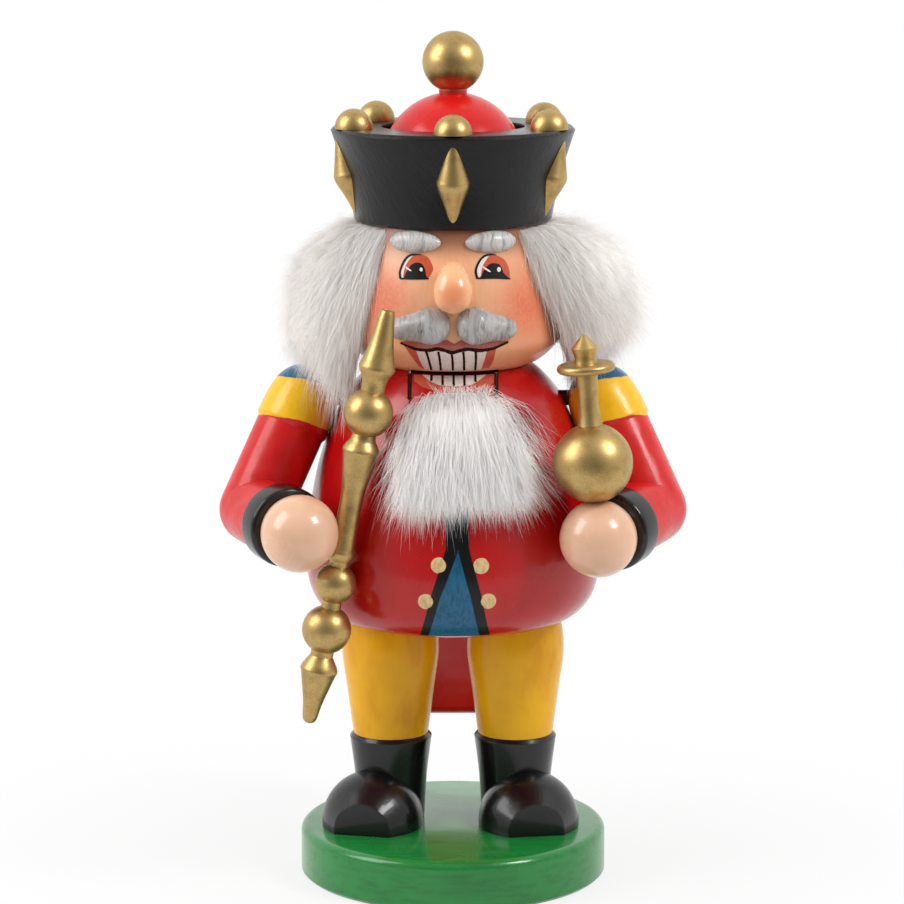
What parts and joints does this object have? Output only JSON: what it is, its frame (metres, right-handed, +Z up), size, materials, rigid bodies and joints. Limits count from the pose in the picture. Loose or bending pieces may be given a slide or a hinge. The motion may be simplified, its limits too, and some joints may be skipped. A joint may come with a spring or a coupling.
{
  "type": "nutcracker figure",
  "caption": "Turned-wood king nutcracker on a round base: lever jaw with fur beard, fur hair, flared crown, staff in one hand and orb on the other.",
  "frame": {"origin": "middle of the underside of the round base", "axes": "+Z up along the figure, -Y the way the face looks, +X the viewer's right when facing the figure"},
  "size_m": [0.1502, 0.1167, 0.2752],
  "materials": {
    "coat_red": "turned wood under glossy red lacquer",
    "base_green": "turned wood under glossy green lacquer",
    "boot_black": "turned wood under glossy black lacquer",
    "leg_yellow": "turned wood under glossy yellow lacquer",
    "plain_wood": "plain beech dowel, hidden",
    "skin": "turned wood under satin skin-coloured lacquer",
    "brow_grey": "turned wood, grey paint with fine brushed streaks",
    "fur_white": "white fur on a hide strip",
    "gold": "turned wood under metallic gold paint"
  },
  "bodies": {
    "figure": {"base": "base_green", "boot_left": "boot_black", "boot_right": "boot_black", "shoe_left": "boot_black", "shoe_right": "boot_black", "leg_left": "leg_yellow", "leg_right": "leg_yellow", "leg_dowels": "plain_wood", "body": "coat_red", "lever_pin": "plain_wood", "head": "skin", "neck_dowels": "plain_wood", "nose": "skin", "eyebrow_left": "brow_grey", "eyebrow_right": "brow_grey", "moustache_left": "brow_grey", "moustache_right": "brow_grey", "hair": "fur_white", "crown_band": "boot_black", "crown_dowel": "plain_wood", "crown_dome": "coat_red", "crown_ball": "gold", "crown_beads": "gold", "crown_spindles": "gold", "arm_left": "coat_red", "arm_right": "coat_red", "forearm_left": "coat_red", "forearm_right": "coat_red", "shoulder_dowels": "plain_wood", "elbow_dowels": "plain_wood", "wrist_dowels": "plain_wood", "cuff_left": "boot_black", "cuff_right": "boot_black", "hand_left": "skin", "hand_right": "skin", "scepter": "gold", "scepter_peg": "plain_wood", "orb_ball": "gold", "orb_finial": "gold", "orb_peg": "plain_wood"},
    "jaw": {"jaw_lever": "coat_red", "beard": "fur_white"}
  },
  "joints": [
    {"name": "jaw_hinge", "type": "hinge", "parent": "figure", "child": "jaw", "pos_m": [0, 0.01, 0.15], "axis": [1, 0, 0], "range_deg": [0, 25], "deforming": ["beard"]}
  ]
}
